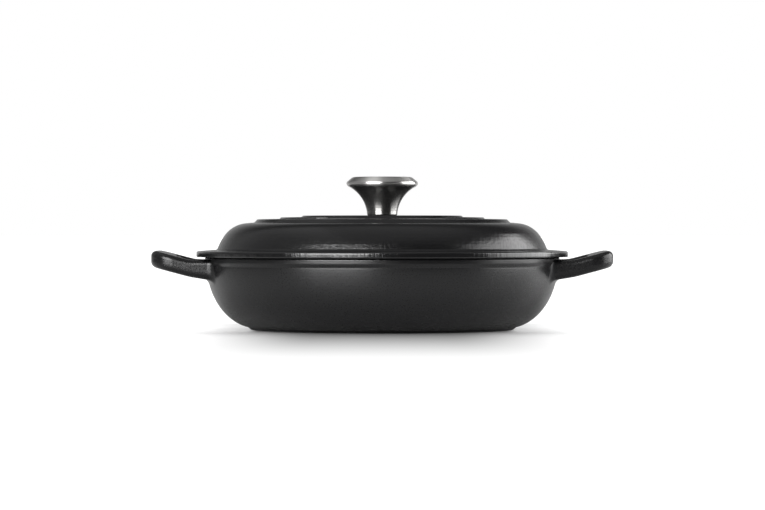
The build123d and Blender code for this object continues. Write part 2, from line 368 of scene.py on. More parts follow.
class LatheTree(ShapeTree):
    """Geometry Nodes that turn a section about the Z axis, all round or over a part of the turn."""

    PATH_RADIUS: ClassVar[float] = 1 * MM
    MERGE: ClassVar[float] = 0.001 * MM
    WHOLE: ClassVar[float] = 360.0
    CREASE: ClassVar[float] = 50.0

    def __init__(self) -> None:
        """Build the tree once; every turned piece uses it."""
        kinds = {
            "Section": "Geometry",
            "Segments": "Int",
            "Whole Turn": "Bool",
            "Start": "Float",
            "Sweep": "Float",
        }
        super().__init__("lathe", kinds)
        add, given = self.add, self.given
        section = add("GeometryNodeMeshToCurve", {"Mesh": given["Section"]})
        placed = add(TRANSFORM, {"Geometry": section, "Translation": (-self.PATH_RADIUS, 0, 0)})
        laid = add(TRANSFORM, {"Geometry": placed, "Rotation": (pi / 2, 0, 0)})
        whole = {"Resolution": given["Segments"], "Radius": self.PATH_RADIUS}
        circle = add("GeometryNodeCurvePrimitiveCircle", whole)
        part = {**whole, "Start Angle": given["Start"], "Sweep Angle": given["Sweep"]}
        arc = add("GeometryNodeCurveArc", part)
        choice = {"Switch": given["Whole Turn"], "False": arc, "True": circle}
        path = add("GeometryNodeSwitch", choice, input_type="GEOMETRY")
        sweep = {"Curve": path, "Profile Curve": laid, "Fill Caps": True}
        turned = add("GeometryNodeCurveToMesh", sweep)
        self.close(add("GeometryNodeMergeByDistance", {"Geometry": turned, "Distance": self.MERGE}))

    def turn(
        self,
        name: str,
        outline: Outline,
        material: Material,
        closed: bool = True,
        segments: int = 256,
        start: float = 0.0,
        sweep: float = WHOLE,
        crease: float = CREASE,
    ) -> Mesh:
        """Turn one section into a plain mesh.

        Args:
            name: The mesh's name.
            outline: The half section, as radius and height.
            material: The finish.
            closed: Whether the outline is a loop; otherwise it ends on the axis.
            segments: Faces round the turn.
            start: Where a part turn starts, in degrees from +X.
            sweep: How far it turns, in degrees.
            crease: Faces that meet at more than this angle have a sharp edge, in degrees.

        Returns:
            The mesh, with its faces pointing out.
        """
        points = outline.points(closed)
        count = len(points)
        edges = [(i, (i + 1) % count) for i in range(count if closed else count - 1)]
        section = bpy.data.meshes.new(f"{name}_section")
        section.from_pydata([(p.x, 0.0, p.y) for p in points], edges, [])
        values = {
            "Segments": segments,
            "Whole Turn": sweep >= self.WHOLE,
            "Start": radians(start),
            "Sweep": radians(sweep),
            "Material": material,
        }
        return self.run(name, section, values, crease)


class LugTree(ShapeTree):
    """Geometry Nodes that stand equal round lugs in a ring about the Z axis."""

    SIDES: ClassVar[int] = 32
    CREASE: ClassVar[float] = 40.0

    def __init__(self) -> None:
        """Build the tree."""
        kinds = {
            "Base": "Geometry",
            "Count": "Int",
            "Ring Radius": "Float",
            "Lug Radius": "Float",
            "Lug Height": "Float",
            "Place": "Vector",
        }
        super().__init__("lug_ring", kinds)
        add, given = self.add, self.given
        ring = add("GeometryNodeMeshCircle", {"Vertices": given["Count"], "Radius": given["Ring Radius"]})
        turned = add(TRANSFORM, {"Geometry": ring, "Rotation": (0, 0, pi / 2)})
        size = {"Vertices": self.SIDES, "Radius": given["Lug Radius"], "Depth": given["Lug Height"]}
        lug = add("GeometryNodeMeshCylinder", size)
        lugs = add("GeometryNodeInstanceOnPoints", {"Points": turned, "Instance": lug})
        self.close(add(TRANSFORM, {"Geometry": lugs, "Translation": given["Place"]}))

    def stand(self, name: str, values: dict[str, Any]) -> Mesh:
        """Stand the lugs in their ring, as one plain mesh."""
        return self.run(name, bpy.data.meshes.new(f"{name}_base"), values, self.CREASE)


@dataclass
class Shell:
    """Faces with the normals of their corners, so that joined pieces keep their shading."""

    vertices: np.ndarray
    corners: np.ndarray
    totals: np.ndarray
    normals: np.ndarray

    @classmethod
    def of(cls, mesh: Mesh, keep: Optional[np.ndarray] = None) -> "Shell":
        """Read a mesh.

        Args:
            mesh: The mesh to read.
            keep: One flag for each face, or None for all of them.

        Returns:
            The faces that are kept.
        """
        normals = read(mesh.corner_normals, "vector", float, 3)
        corners = read(mesh.loops, "vertex_index", int)
        totals = read(mesh.polygons, "loop_total", int)
        flags = np.ones(len(totals), bool) if keep is None else keep
        kept = np.repeat(flags, totals)
        return cls(read(mesh.vertices, "co", float, 3), corners[kept], totals[flags], normals[kept])

    @staticmethod
    def join(name: str, shells: Sequence["Shell"], material: Material) -> Mesh:
        """Join shells into one mesh with one material.

        Args:
            name: The mesh's name.
            shells: What to join.
            material: The finish.

        Returns:
            The new mesh, with the normals of its parts.
        """
        offsets = np.cumsum([0] + [len(s.vertices) for s in shells[:-1]])
        vertices = np.concatenate([s.vertices for s in shells])
        corners = np.concatenate([s.corners + o for s, o in zip(shells, offsets)])
        totals = np.concatenate([s.totals for s in shells])
        ends = np.cumsum(totals)
        faces = [corners[end - total : end].tolist() for end, total in zip(ends, totals)]
        mesh = bpy.data.meshes.new(name)
        mesh.from_pydata(vertices.tolist(), [], faces)
        mesh.shade_smooth()
        mesh.normals_split_custom_set(np.concatenate([s.normals for s in shells]).tolist())
        mesh.materials.append(material)
        return mesh


def dress(mesh: Mesh, material: Material, where: Callable[[float, float], bool]) -> None:
    """Give a second finish to the faces of one region.

    Args:
        mesh: The mesh.
        material: The finish.
        where: Tells from radius and height whether a face is in the region.
    """
    mesh.materials.append(material)
    index = len(mesh.materials) - 1
    for face in mesh.polygons:
        place = face.center
        if where(hypot(place.x, place.y), place.z):
            face.material_index = index


def add_piece(mesh: Mesh, body: Body, slot: Slot, *nodes: str) -> None:
    """Put a mesh in the scene as a piece of the braiser.

    Args:
        mesh: The piece's mesh, in place.
        body: The body that it rides on.
        slot: The record's slot for its finish; not used.
        *nodes: The CAD nodes that it stands for.
    """
    piece = put(mesh.name, mesh)
    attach(piece, body.value)
    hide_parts(*nodes)
    LOG.info("%s: %d faces, rides on %s", piece.name, len(mesh.polygons), body.value)


def new_material(name: str) -> tuple[Material, NodeTree]:
    """Start a material.

    Args:
        name: The finish's name.

    Returns:
        The material and its empty node tree.
    """
    material = bpy.data.materials.new(name)
    material.use_nodes = True
    material.node_tree.nodes.clear()
    return material, material.node_tree


def end_material(tree: NodeTree, inputs: dict[str, Any]) -> None:
    """End a material with a Principled shader, whose inputs are given as for add_node."""
    shader = add_node(tree, "ShaderNodeBsdfPrincipled", inputs)
    add_node(tree, "ShaderNodeOutputMaterial", {"Surface": shader})


@dataclass(frozen=True)
class SatinEnamel:
    """Satin black enamel, fired on sand-cast iron.

    The sand mould leaves a grain under the glaze, which gives the eye a speckled edge to each highlight. The
    glaze itself pulls into long swells, which bend reflections a little, and its satin surface blurs them.
    """

    name: str = "satin_black_enamel"
    colour: str = "#0f0f10"
    fleck: str = "#161617"
    index: float = 1.4
    roughness: float = 0.29
    roughness_swing: float = 0.03
    grain: float = 1.1 * MM
    grain_height: float = 0.009 * MM
    upright: float = 1.0  # under 1 the grain is drawn out along Z
    smooth_from: Span = (1.0, 2.0)  # heights between which the grain fades out
    swell: float = 9 * MM
    swell_height: float = 0.05 * MM
    streak: float = 1.6 * MM
    streak_height: float = 0.0
    streak_upright: float = 0.12

    def build(self) -> Material:
        """Build the material.

        Returns:
            The finished material.
        """
        material, tree = new_material(self.name)
        add = partial(add_node, tree)
        place = add("ShaderNodeTexCoord").outputs["Object"]
        long = add(VECTOR, {0: place, 1: (1, 1, self.upright)}, operation="MULTIPLY")
        grain = add(NOISE, {"Vector": long, "Scale": 1 / self.grain, "Detail": 3.0, "Roughness": 0.55})
        swell = add(NOISE, {"Vector": place, "Scale": 1 / self.swell, "Detail": 2.0})
        colours = {"Factor": grain, "A": linear(self.colour), "B": linear(self.fleck)}
        tint = add("ShaderNodeMix", colours, data_type="RGBA")
        low, high = self.roughness - self.roughness_swing, self.roughness + self.roughness_swing
        gloss = add(RANGE, {**over(grain, NOISE_SPAN), "To Min": low, "To Max": high})
        coarse = add(BUMP, {"Height": swell, "Distance": self.swell_height})
        height = add("ShaderNodeSeparateXYZ", {"Vector": place}).outputs["Z"]
        worn = faded(tree, grain, (height, self.smooth_from[::-1]))
        normal = add(BUMP, {"Height": worn, "Distance": self.grain_height, "Normal": coarse})
        if self.streak_height:
            # Grinding marks of an edge, left under the glaze: a comb of short upright glints.
            long = add(VECTOR, {0: place, 1: (1, 1, self.streak_upright)}, operation="MULTIPLY")
            marks = add(NOISE, {"Vector": long, "Scale": 1 / self.streak, "Detail": 2.0, "Roughness": 0.6})
            normal = add(BUMP, {"Height": marks, "Distance": self.streak_height, "Normal": normal})
        end_material(tree, {"Base Color": tint, "Roughness": gloss, "IOR": self.index, "Normal": normal})
        return material


@dataclass(frozen=True)
class TurnedSteel:
    """Stainless steel finished on a lathe.

    The tool leaves fine circular lines, which give the eye highlights drawn out across them. The lines are
    too fine to show at the photograph's distance, so they are drawn coarse enough to show close up.
    """

    name: str = "turned_stainless_steel"
    colour: str = "#b9b8b6"
    roughness: float = 0.3
    anisotropy: float = 0.6
    line: float = 0.16 * MM
    line_height: float = 0.002 * MM

    LEAST: ClassVar[float] = 0.8  # least and most roughness, as shares of the plain one
    MOST: ClassVar[float] = 1.25
    QUARTER_TURN: ClassVar[float] = 0.25  # draws the highlights out across the lines, not along them

    def build(self) -> Material:
        """Build the material.

        Returns:
            The finished material.
        """
        material, tree = new_material(self.name)
        add = partial(add_node, tree)
        place = add("ShaderNodeTexCoord").outputs["Object"]
        split = add("ShaderNodeSeparateXYZ", {"Vector": place}).outputs
        flat = add("ShaderNodeCombineXYZ", {"X": split["X"], "Y": split["Y"]})
        reach = add(VECTOR, {0: flat}, operation="LENGTH")
        section = add("ShaderNodeCombineXYZ", {"X": reach, "Y": split["Z"]})
        lines = add(NOISE, {"Vector": section, "Scale": 1 / self.line, "Detail": 2.0})
        swing = {"To Min": self.roughness * self.LEAST, "To Max": self.roughness * self.MOST}
        inputs = {
            "Base Color": linear(self.colour),
            "Metallic": 1.0,
            "Roughness": add(RANGE, {**over(lines, NOISE_SPAN), **swing}),
            "Anisotropic": self.anisotropy,
            "Anisotropic Rotation": self.QUARTER_TURN,
            "Tangent": add("ShaderNodeTangent", direction_type="RADIAL", axis="Z"),
            "Normal": add(BUMP, {"Height": lines, "Distance": self.line_height}),
        }
        end_material(tree, inputs)
        return material


@dataclass
class Pot:
    """The casting that holds the food: bowl, foot, rim band and both loop handles."""

    rim_radius: float = 144.7 * MM
    rim_height: float = 59.2 * MM
    rim_outer_round: float = 1.7 * MM
    rim_inner_round: float = 1.2 * MM
    band_height: float = 8 * MM
    band_proud: float = 1.5 * MM
    band_cove: float = 3 * MM
    band_bury: float = 0.1 * MM
    belly_height: float = 53.8 * MM
    belly_bottom: float = 1.1 * MM
    flat_radius: float = 101.8 * MM
    wall: float = 3.5 * MM
    floor: float = 4.3 * MM
    foot_radius: float = 109.5 * MM
    foot_taper: float = 2.4 * MM
    foot_round: float = 2 * MM
    foot_ring: float = 15 * MM
    recess: float = 0.8 * MM
    recess_flare: float = 1.5 * MM
    touch: float = 0.02 * MM  # a corner nearer to the turned bowl than this lies on it
    edge_play: float = 1 * MM

    AT_FOOT: ClassVar[float] = 1.0  # degrees of the belly's ellipse that are left out at its ends
    AT_BAND: ClassVar[float] = 3.0

    @property
    def belly_radius(self) -> float:
        """Radius of the belly at its widest."""
        return self.rim_radius - self.band_proud

    @property
    def mouth_radius(self) -> float:
        """Radius inside the rim."""
        return self.belly_radius - self.wall

    def outline(self) -> Outline:
        """Draw the bowl's half section.

        Returns:
            The section, from the middle of the underside to the middle of the floor.
        """
        centre = Vector((self.flat_radius, self.belly_height))
        side, depth = self.belly_radius - self.flat_radius, self.belly_height - self.belly_bottom
        foot_share = (self.foot_radius - self.flat_radius) / side
        foot_top = self.belly_height - depth * sqrt(1 - foot_share**2)
        contact = self.foot_radius - self.foot_taper
        recess = contact - self.foot_ring
        band_inner = self.belly_radius - self.band_bury
        cove = degrees(acos(1 - (self.rim_radius - band_inner) / (2 * self.band_cove)))
        band_bottom = self.rim_height - self.band_height
        crest_height = band_bottom + 2 * self.band_cove * sin(radians(cove))
        hollow = Vector((band_inner + self.band_cove, band_bottom))
        crest = Vector((self.rim_radius - self.band_cove, crest_height))
        floor = self.recess + self.floor
        return (
            Outline()
            .to(0, self.recess)
            .to(recess - self.recess_flare, self.recess)
            .to(recess, 0)
            .to(contact, 0, self.foot_round)
            .to(self.foot_radius, foot_top)
            .ellipse(centre, side, depth, degrees(-acos(foot_share)) + self.AT_FOOT, -self.AT_BAND)
            .arc(hollow, self.band_cove, 180, 180 - cove)
            .arc(crest, self.band_cove, -cove, 0)
            .to(self.rim_radius, self.rim_height, self.rim_outer_round)
            .to(self.mouth_radius, self.rim_height, self.rim_inner_round)
            .ellipse(centre, side - self.wall, self.belly_height - floor, 0, -90)
            .to(0, floor)
        )

    def off_bowl(self, mesh: Mesh, outline: Outline) -> np.ndarray:
        """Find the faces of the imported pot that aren't part of the turned bowl.

        Args:
            mesh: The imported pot's mesh.
            outline: The bowl's half section.

        Returns:
            One flag for each face, true on the handles and their roots.
        """
        places = read(mesh.vertices, "co", float, 3)
        section = np.stack([np.hypot(places[:, 0], places[:, 1]), places[:, 2]], 1)
        line = np.array([tuple(p) for p in outline.points(False)])
        nearest = np.full(len(section), np.inf)
        for origin, step in zip(line[:-1], np.diff(line, axis=0)):
            share = np.clip((section - origin) @ step / (step @ step), 0, 1)
            gap = np.hypot(*(section - origin - share[:, None] * step).T)
            nearest = np.minimum(nearest, gap)
        corners = read(mesh.loops, "vertex_index", int).reshape(-1, 3)
        off = (nearest > self.touch)[corners].any(1)
        wide = np.abs(places[corners][:, :, 0]).min(1) > self.flat_radius
        return off & wide

    def build(
        self, lathe: LatheTree, satin: Material, grained: Material, cast: Material, edge: Material
    ) -> None:
        """Build the casting: a finely turned bowl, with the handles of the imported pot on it.

        Args:
            lathe: The tree that turns the bowl.
            satin: The belly's finish.
            grained: The finish of the rim band.
            cast: The finish of the handles.
            edge: The finish of the ground rim.
        """
        outline = self.outline()
        bowl = lathe.turn("bowl", outline, satin, closed=False)
        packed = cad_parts["pot"].data
        handles = Shell.of(packed, self.off_bowl(packed, outline))
        mesh = Shell.join("pot_casting", [Shell.of(bowl), handles], satin)
        band = self.rim_height - self.band_height + self.band_cove
        rim = self.rim_height - self.rim_outer_round
        middle = self.mouth_radius + self.wall / 2
        grip = self.rim_radius + self.wall
        dress(mesh, grained, lambda r, z: r > middle and z > band)
        dress(mesh, cast, lambda r, z: r > grip)
        dress(mesh, edge, lambda r, z: z > rim and r < self.rim_radius + self.edge_play)
        add_piece(mesh, Body.POT, Slot.POT_ENAMEL, "pot")
        bpy.data.meshes.remove(bowl)


@dataclass
class Lid:
    """The casting that covers the pot: lip, flange, dome and three stepped rings."""

    rim_radius: float
    rim_height: float
    mouth_radius: float
    wall: float = 3.3 * MM
    crown_wall: float = 3.9 * MM
    play: float = 0.8 * MM
    lip_depth: float = 4.5 * MM
    lip_thickness: float = 4 * MM
    lip_round: float = 1.2 * MM
    overhang: float = 6.8 * MM
    flange_edge: float = 4.7 * MM
    flange_slope: float = 4.4
    flange_top_round: float = 1.6 * MM
    flange_bottom_round: float = 0.9 * MM
    crease_round: float = 2.0 * MM
    dome_inset: float = 10.1 * MM
    base_angle: float = 18.4
    knee_angle: float = 39.3
    side_radius: float = 40 * MM
    shoulder_radius: float = 24 * MM
    top_slope: float = 5.0
    ring_radii: tuple[float, float, float] = (101.8 * MM, 82.6 * MM, 64.7 * MM)
    ring_steps: tuple[float, float, float] = (2.6 * MM, 1.2 * MM, 1.1 * MM)
    ring_slope: float = 1.1
    ring_lean: float = 45.0
    ring_round: float = 0.7 * MM
    ring_foot_round: float = 0.8 * MM
    gap_half_angle: float = 39.0
    ring_end_round: float = 0.8 * MM
    hole_radius: float = 3.6 * MM
    lug_count: int = 3
    lug_radius: float = 2.2 * MM
    lug_height: float = 3 * MM
    lug_proud: float = 0.4 * MM
    places: dict[str, Any] = field(default_factory=dict)

    AT_CREASE: ClassVar[float] = 3.0  # degrees of the dome's arcs that are left out at their ends
    AT_KNEE: ClassVar[float] = 2.0
    END_STEPS: ClassVar[int] = 4

    def __post_init__(self) -> None:
        """Work out the places that follow from the sizes."""
        rise = (self.overhang + self.dome_inset) * tan(radians(self.flange_slope))
        flange_top = self.rim_height + self.flange_edge
        base = Vector((self.rim_radius - self.dome_inset, flange_top + rise))
        side_centre = polar(base, -self.side_radius, self.base_angle)
        knee = polar(side_centre, self.side_radius, self.knee_angle)
        shoulder_centre = polar(knee, -self.shoulder_radius, self.knee_angle)
        end = polar(shoulder_centre, self.shoulder_radius, 90 - self.top_slope)
        inner_end = polar(shoulder_centre, self.shoulder_radius - self.wall, 90 - self.top_slope)
        slope = tan(radians(self.ring_slope))
        outer, middle, inner = self.ring_radii
        lean = tan(radians(self.ring_lean))
        outer_foot = outer + self.ring_steps[0] * lean
        first = end.y + (end.x - outer_foot) * tan(radians(self.top_slope))
        first_top = first + self.ring_steps[0]
        second = first_top + (outer - middle) * slope
        third = second + (middle - inner) * slope
        crown = third + self.ring_steps[1] + self.ring_steps[2]
        ceiling = crown - self.crown_wall
        self.places = {
            "flange_top": flange_top,
            "base": base,
            "side_centre": side_centre,
            "shoulder_centre": shoulder_centre,
            "outer_foot": outer_foot,
            "inner_foot": inner + (self.ring_steps[1] + self.ring_steps[2]) * lean,
            "middle_foot": middle + self.ring_steps[1] * lean * 2,
            "first": first,
            "first_top": first_top,
            "second": second,
            "third": third,
            "crown": crown,
            "ceiling": ceiling,
            "ceiling_radius": inner_end.x - (ceiling - inner_end.y) / tan(radians(self.top_slope)),
        }

    def outline(self) -> Outline:
        """Draw the half section of the lid without its middle ring.

        Returns:
            The section, as a loop.
        """
        at = self.places
        outer, _, inner = self.ring_radii
        lip_radius = self.mouth_radius - self.play
        flange_radius = self.rim_radius + self.overhang
        top, knee, base = 90 - self.top_slope, self.knee_angle, self.base_angle
        return (
            Outline()
            .to(flange_radius, self.rim_height, self.flange_bottom_round)
            .to(flange_radius, at["flange_top"], self.flange_top_round)
            .to(*at["base"], self.crease_round)
            .arc(at["side_centre"], self.side_radius, base + self.AT_CREASE, knee)
            .arc(at["shoulder_centre"], self.shoulder_radius, knee + self.AT_KNEE, top)
            .to(at["outer_foot"], at["first"], self.ring_foot_round)
            .to(outer, at["first_top"], self.ring_round)
            .to(at["inner_foot"], at["third"], self.ring_foot_round)
            .to(inner, at["crown"], self.ring_round)
            .to(self.hole_radius, at["crown"])
            .to(self.hole_radius, at["ceiling"])
            .to(at["ceiling_radius"], at["ceiling"])
            .arc(at["shoulder_centre"], self.shoulder_radius - self.wall, top, knee)
            .arc(at["side_centre"], self.side_radius - self.wall, knee - self.AT_KNEE, base)
            .to(lip_radius - self.lip_thickness, self.rim_height - self.lip_depth, self.lip_round)
            .to(lip_radius, self.rim_height - self.lip_depth, self.lip_round)
            .to(lip_radius, self.rim_height)
        )

    def ring_outline(self) -> Outline:
        """Draw the section of the middle ring, sunk into the casting.

        Returns:
            The section, as a loop.
        """
        at = self.places
        _, middle, inner = self.ring_radii
        step = self.ring_steps[1]
        return (
            Outline()
            .to(inner - step, at["third"] - step)
            .to(at["middle_foot"], at["second"] - step)
            .to(middle, at["second"] + step, self.ring_round)
            .to(inner - step, at["third"] + step)
        )

    def middle_ring(self, lathe: LatheTree, enamel: Material) -> Mesh:
        """Turn the ring that leaves a plain field at the front, and soften its ends.

        Args:
            lathe: The tree that turns it.
            enamel: Its finish.

        Returns:
            The ring's mesh.
        """
        gap = self.gap_half_angle
        mesh = lathe.turn("middle_ring", self.ring_outline(), enamel, start=gap - 90, sweep=360 - 2 * gap)
        work = bmesh.new()
        work.from_mesh(mesh)
        floor = self.places["second"] + self.ring_steps[1] / 2
        # Only the two cut ends have more than four corners.
        caps = [face for face in work.faces if len(face.verts) > 4]
        ends = [edge for cap in caps for edge in cap.edges if min(v.co.z for v in edge.verts) > floor]
        bmesh.ops.bevel(
            work, geom=ends, offset=self.ring_end_round, segments=self.END_STEPS, profile=0.5, affect="EDGES"
        )
        work.to_mesh(mesh)
        work.free()
        smooth(mesh, lathe.CREASE)
        return mesh

    def lugs(self, enamel: Material) -> Mesh:
        """Make the lugs on the lip, which centre the lid in the mouth of the pot.

        Args:
            enamel: Their finish.

        Returns:
            The lugs' mesh.
        """
        lip_radius = self.mouth_radius - self.play
        middle = self.rim_height - self.lip_depth + self.lip_round + self.lug_height / 2
        values = {
            "Count": self.lug_count,
            "Ring Radius": lip_radius + self.lug_proud - self.lug_radius,
            "Lug Radius": self.lug_radius,
            "Lug Height": self.lug_height,
            "Place": (0.0, 0.0, middle),
            "Material": enamel,
        }
        return LugTree().stand("lip_lugs", values)

    def build(self, lathe: LatheTree, grained: Material, edge: Material) -> None:
        """Build the casting and put it on its body.

        Args:
            lathe: The tree that turns it.
            grained: The finish of the dome.
            edge: The finish of the flange's ground edge.
        """
        body = lathe.turn("lid_body", self.outline(), grained)
        parts = (body, self.middle_ring(lathe, grained), self.lugs(grained))
        mesh = Shell.join("lid_casting", [Shell.of(part) for part in parts], grained)
        ground = self.rim_radius + self.overhang - self.flange_top_round
        dress(mesh, edge, lambda r, z: r > ground)
        add_piece(mesh, Body.LID, Slot.LID_ENAMEL, "lid")
        for part in parts:
            bpy.data.meshes.remove(part)


@dataclass
class Knob:
    """The steel knob: spun neck, pressed cap, and the fastening inside."""

    base: float
    hole_radius: float
    neck_height: float = 23.8 * MM
    foot_radius: float = 12.3 * MM
    foot_round: float = 1.5 * MM
    curve_radius: float = 27.4 * MM
    flare_radius: float = 27.8 * MM
    sheet: float = 1.5 * MM
    cap_radius: float = 30.1 * MM
    nose_height: float = 2.7 * MM
    nose_round: float = 2.2 * MM
    cap_height: float = 7.8 * MM
    top_radius: float = 24 * MM
    edge_round: float = 4.5 * MM
    fasteners: tuple[str, ...] = ("knob_insert", "knob_screw", "screw_washer", "spring_washer")

    SEGMENTS: ClassVar[int] = 160
    NECK_CREASE: ClassVar[float] = 40.0
    CAP_CREASE: ClassVar[float] = 60.0
    AT_FOOT: ClassVar[float] = 3.0  # degrees of the neck's arc that are left to the rounding of its foot
    NOSE_SHEETS: ClassVar[float] = 1.45  # level thickness of the cap at its slanting nose, in sheets

    @staticmethod
    def curve_centre(low: Vector, high: Vector, radius: float) -> Vector:
        """Find the centre of the arc that bows towards the axis between two points.

        Args:
            low: The lower point.
            high: The higher point.
            radius: The arc's radius.

        Returns:
            The centre.
        """
        half = (high - low) / 2
        reach = sqrt(radius**2 - half.length_squared)
        return low + half + Vector((half.y, -half.x)).normalized() * reach

    def neck_outline(self) -> Outline:
        """Draw the half section of the neck, a trumpet of sheet steel with a floor.

        Returns:
            The section, as a loop.
        """
        top = self.base + self.neck_height
        floor = self.base + self.sheet
        low, high = Vector((self.foot_radius, self.base)), Vector((self.flare_radius, top))
        centre = self.curve_centre(low, high, self.curve_radius)
        foot_angle, edge_angle = (degrees(atan2(p.y, p.x)) % 360 for p in (low - centre, high - centre))
        inside = self.curve_radius + self.sheet
        rim_angle, floor_angle = (180 - degrees(asin((z - centre.y) / inside)) for z in (top, floor))
        return (
            Outline()
            .to(self.hole_radius, self.base)
            .to(self.foot_radius, self.base, self.foot_round)
            .arc(centre, self.curve_radius, foot_angle - self.AT_FOOT, edge_angle)
            .arc(centre, inside, rim_angle, floor_angle)
            .to(self.hole_radius, floor)
        )

    def cap_outline(self) -> Outline:
        """Draw the half section of the cap.

        Returns:
            The section, from the middle of its top to the middle of its inside.
        """
        seam = self.base + self.neck_height
        top = seam + self.cap_height
        nose = self.NOSE_SHEETS * self.sheet
        return (
            Outline()
            .to(0, top)
            .to(self.top_radius, top, self.edge_round)
            .to(self.cap_radius, seam + self.nose_height, self.nose_round)
            .to(self.flare_radius, seam)
            .to(self.flare_radius - nose, seam)
            .to(self.cap_radius - nose, seam + self.nose_height)
            .to(self.top_radius - self.sheet / 2, top - self.sheet, self.edge_round - self.sheet)
            .to(0, top - self.sheet)
        )

    def build(self, lathe: LatheTree, neck: Material, cap: Material, bright: Material) -> None:
        """Build the knob and dress its fastening.

        Args:
            lathe: The tree that turns its shells.
            neck: The neck's finish.
            cap: The cap's finish.
            bright: The finish of the screw, the insert and the washers.
        """
        sides = self.SEGMENTS
        neck_mesh = lathe.turn("neck", self.neck_outline(), neck, segments=sides, crease=self.NECK_CREASE)
        add_piece(neck_mesh, Body.LID, Slot.NECK_STEEL, "knob_neck")
        cap_mesh = lathe.turn(
            "cap", self.cap_outline(), cap, closed=False, segments=sides, crease=self.CAP_CREASE
        )
        add_piece(cap_mesh, Body.LID, Slot.CAP_STEEL, "knob_cap")
        for node in self.fasteners:
            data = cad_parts[node].data
            data.materials.clear()
            data.materials.append(bright)
            LOG.info("%s: packed piece, new finish", node)


@dataclass
class Softbox:
    """A studio softbox, placed by its direction and distance from the middle of the braiser.

    It only makes reflections: the plain level of light comes from the world.
    """

    name: str
    azimuth: float
    elevation: float
    width: float
    height: float
    radiance: float
    distance: float = 2.2

    WATTS: ClassVar[float] = 4.0  # watts per square metre of lamp for a radiance of 1

    def build(self, target: Vector) -> None:
        """Hang the lamp and turn it to the braiser.

        Args:
            target: The place that it points at.
        """
        lamp = bpy.data.lights.new(self.name, "AREA")
        lamp.shape = "RECTANGLE"
        lamp.size = self.width
        lamp.size_y = self.height
        lamp.energy = self.radiance * self.WATTS * self.width * self.height
        holder = put(self.name, lamp)
        holder.visible_diffuse = False
        holder.visible_camera = False
        turn, rise = radians(self.azimuth), radians(self.elevation)
        reach = Vector((sin(turn) * cos(rise), -cos(turn) * cos(rise), sin(rise)))
        holder.location = target + reach * self.distance
        holder.rotation_euler = (-reach).to_track_quat("-Z", "Y").to_euler()


